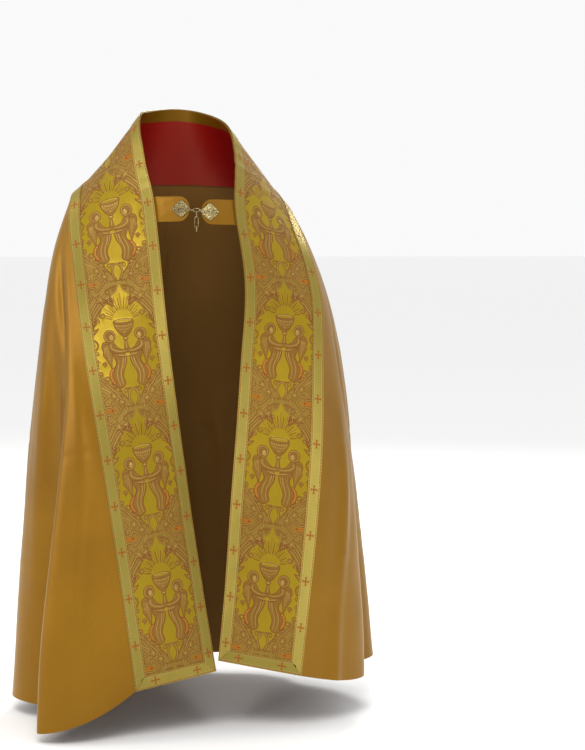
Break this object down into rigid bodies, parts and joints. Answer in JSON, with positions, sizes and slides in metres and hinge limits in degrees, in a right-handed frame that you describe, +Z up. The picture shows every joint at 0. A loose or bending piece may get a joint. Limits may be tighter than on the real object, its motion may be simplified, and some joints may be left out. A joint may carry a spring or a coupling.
{
  "type": "cope vestment",
  "caption": "Hooded liturgical cloak worn open at the front, hanging hollow in a half circle of satin, with brocade bands, a fringed shield hood and a chained clasp.",
  "frame": {"origin": "middle of the neck's base, level with the shoulders, where the wearer holds the garment up", "axes": "+Z up, -Y the way the wearer faces, so that +X is the wearer's left"},
  "size_m": [0.8598, 0.7156, 1.3907],
  "materials": {
    "satin": "satin",
    "brocade": "matte",
    "galloon": "satin",
    "facing": "satin",
    "lining": "satin",
    "fringe": "satin",
    "antique silver": "satin"
  },
  "bodies": {
    "cloak": {"body_right": "satin", "body_left": "satin", "orphrey_right": "brocade", "orphrey_left": "brocade", "galloon_inner_right": "galloon", "galloon_inner_left": "galloon", "galloon_outer_right": "galloon", "galloon_outer_left": "galloon", "galloon_hem_right": "galloon", "galloon_hem_left": "galloon", "galloon_back": "galloon", "neck_lining": "lining", "neck_facing": "facing", "hood": "brocade", "hood_galloon": "galloon", "hood_fringe": "fringe", "tab_right": "satin", "tab_left": "satin", "clasp_plate_right": "antique silver", "clasp_plate_left": "antique silver", "clasp_hook": "antique silver", "clasp_eyelet": "antique silver", "clasp_ring": "antique silver"},
    "link_upper": {"chain_link_upper": "antique silver"},
    "link_long": {"chain_link_long": "antique silver"},
    "drop": {"chain_drop": "antique silver"}
  },
  "joints": [
    {"name": "upper_link_swing", "type": "hinge", "parent": "cloak", "child": "link_upper", "pos_m": [-0.00702, -0.1815, -0.17361], "axis": [1, 0, 0], "range_deg": [-8, 30]},
    {"name": "long_link_swing", "type": "hinge", "parent": "link_upper", "child": "link_long", "pos_m": [-0.00702, -0.1815, -0.18681], "axis": [0, 1, 0], "range_deg": [-30, 30]},
    {"name": "drop_swing", "type": "hinge", "parent": "link_long", "child": "drop", "pos_m": [-0.00702, -0.1815, -0.20901], "axis": [1, 0, 0], "range_deg": [-30, 30]}
  ]
}
